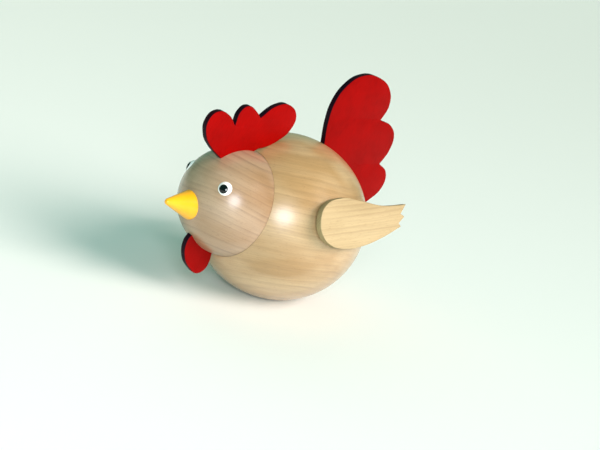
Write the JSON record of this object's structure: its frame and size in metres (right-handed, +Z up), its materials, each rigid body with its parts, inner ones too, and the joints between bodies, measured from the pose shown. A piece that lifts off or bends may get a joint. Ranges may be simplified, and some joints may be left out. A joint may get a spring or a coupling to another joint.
{
  "type": "wind-up hopping hen",
  "caption": "Wooden hen of two turned balls with plywood comb, wattle, tail and wings; a wound spring turns a crank that kicks a foot out below so that it hops.",
  "frame": {"origin": "centre of the kicker foot's underside, on the surface that the hen stands on", "axes": "-X the way the hen faces, -Y its left side, +Z up"},
  "size_m": [0.1297, 0.1066, 0.1076],
  "materials": {
    "turned_wood": "turned hardwood, clear satin lacquer",
    "plain_ply": "sanded plywood, unpainted",
    "red_ply": "plywood, red satin paint",
    "yellow_wood": "turned hardwood, yellow gloss paint",
    "white_paint": "wooden button, white gloss paint with a black pupil",
    "steel": "bright steel",
    "brass": "plain brass",
    "rubber": "matt"
  },
  "bodies": {
    "hen": {"body_ball": "turned_wood", "head_ball": "turned_wood", "head_plug": "plain_ply", "mechanism_board": "plain_ply", "board_screw_1": "steel", "board_screw_2": "steel", "board_screw_3": "steel", "beak": "yellow_wood", "eye_left": "white_paint", "eye_right": "white_paint", "comb": "red_ply", "wattle": "red_ply", "tail": "red_ply", "wing_left": "plain_ply", "wing_right": "plain_ply", "wing_dowel_left": "plain_ply", "wing_dowel_right": "plain_ply", "plate_left": "steel", "plate_right": "steel", "pillar_rear_top": "brass", "pillar_rear_bottom": "brass", "pillar_front_top": "brass", "pillar_front_bottom": "brass", "mainspring": "steel", "crank_bush": "brass", "stem_bush": "brass", "key_bush": "brass", "return_spring": "steel"},
    "great_wheel_body": {"great_wheel": "brass", "click_pin": "steel", "click_spring": "steel"},
    "winding_key": {"winding_arbor": "steel", "ratchet_wheel": "steel", "key_shank": "steel", "key_grip": "steel"},
    "click_body": {"click": "steel"},
    "second_wheel_body": {"second_arbor": "steel", "second_pinion": "steel", "second_wheel": "brass"},
    "crank_body": {"crank_arbor": "steel", "crank_pinion": "steel"},
    "kicker": {"kick_yoke": "steel", "kick_stem": "steel", "kick_foot": "steel", "foot_screw": "steel", "foot_pad": "rubber"}
  },
  "joints": [
    {"name": "great_wheel_turn", "type": "hinge", "parent": "hen", "child": "great_wheel_body", "pos_m": [0.0135, 0, 0.03399], "axis": [0, -1, 0], "continuous": true},
    {"name": "winding_turn", "type": "hinge", "parent": "great_wheel_body", "child": "winding_key", "pos_m": [0.0135, 0, 0.03399], "axis": [0, -1, 0], "continuous": true},
    {"name": "click_pivot", "type": "hinge", "parent": "great_wheel_body", "child": "click_body", "pos_m": [0.0181, 0, 0.04079], "axis": [0, -1, 0], "range_deg": [0, 8], "stiffness_Nm_per_rad": 0.002, "springref_deg": -5.73},
    {"name": "second_turn", "type": "hinge", "parent": "hen", "child": "second_wheel_body", "pos_m": [0.00231, 0, 0.04155], "axis": [0, -1, 0], "continuous": true},
    {"name": "crank_turn", "type": "hinge", "parent": "hen", "child": "crank_body", "pos_m": [0, 0, 0.031], "axis": [0, -1, 0], "continuous": true},
    {"name": "kick_slide", "type": "slide", "parent": "hen", "child": "kicker", "axis": [0, 0, -1], "range_m": [0, 0.004], "stiffness_N_per_m": 150, "springref_m": -0.003, "deforming": ["return_spring"]}
  ],
  "couplings": [
    {"joint": "second_turn", "follows": "great_wheel_turn", "ratio": -4},
    {"joint": "crank_turn", "follows": "great_wheel_turn", "ratio": 12}
  ]
}
